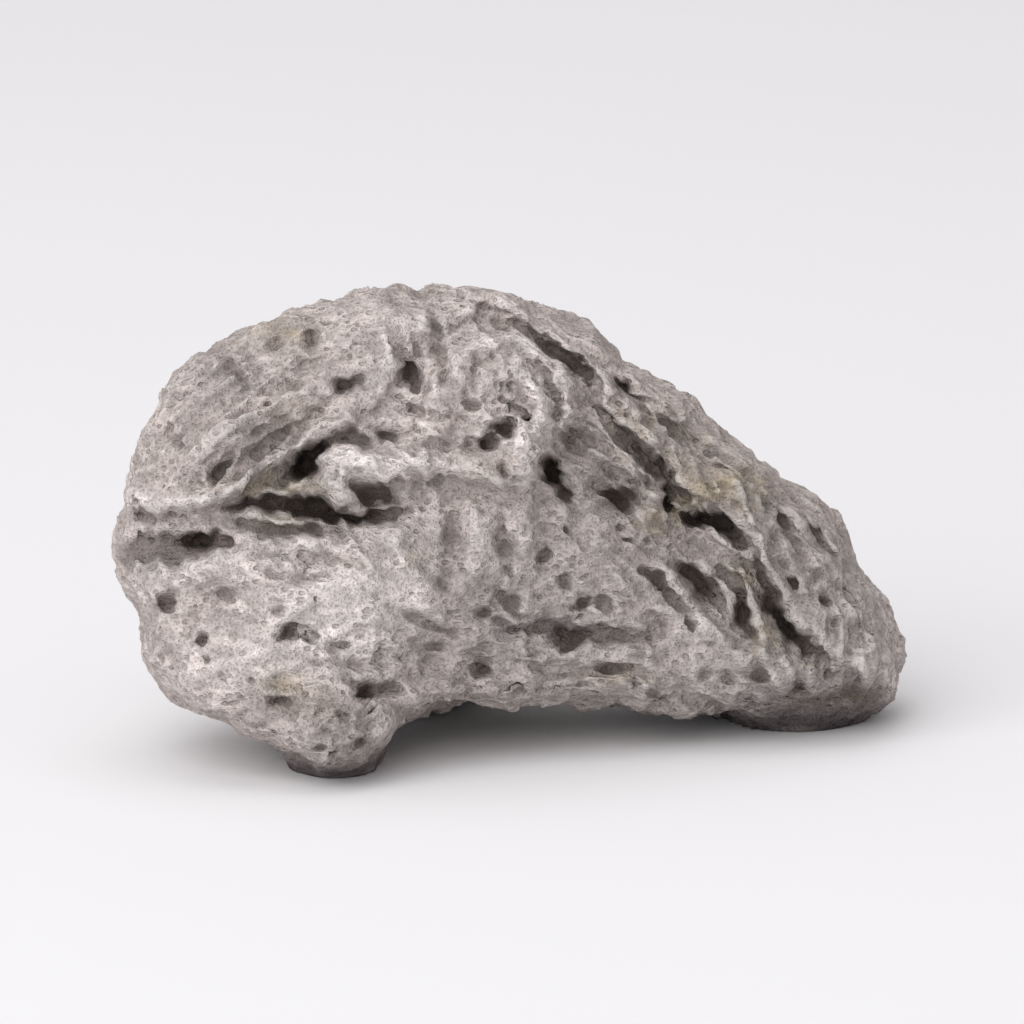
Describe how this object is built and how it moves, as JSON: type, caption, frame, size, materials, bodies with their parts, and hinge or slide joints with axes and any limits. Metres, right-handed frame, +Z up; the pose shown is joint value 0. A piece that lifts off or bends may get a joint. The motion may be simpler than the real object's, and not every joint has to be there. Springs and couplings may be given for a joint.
{
  "type": "pumice stone",
  "caption": "Rough natural pumice stone with a folded crust, a deep crevice and open gas bubbles, resting on three worn spots.",
  "frame": {"origin": "bottom centre of the bounding box, on the surface that the stone rests on", "axes": "+X along the stone's length, +Y from its folded face to its back, +Z up"},
  "size_m": [0.0606, 0.039, 0.0349],
  "materials": {
    "pumice": "dry, matt, rough and porous"
  },
  "bodies": {
    "root": {"pumice_stone": "pumice"}
  },
  "joints": []
}
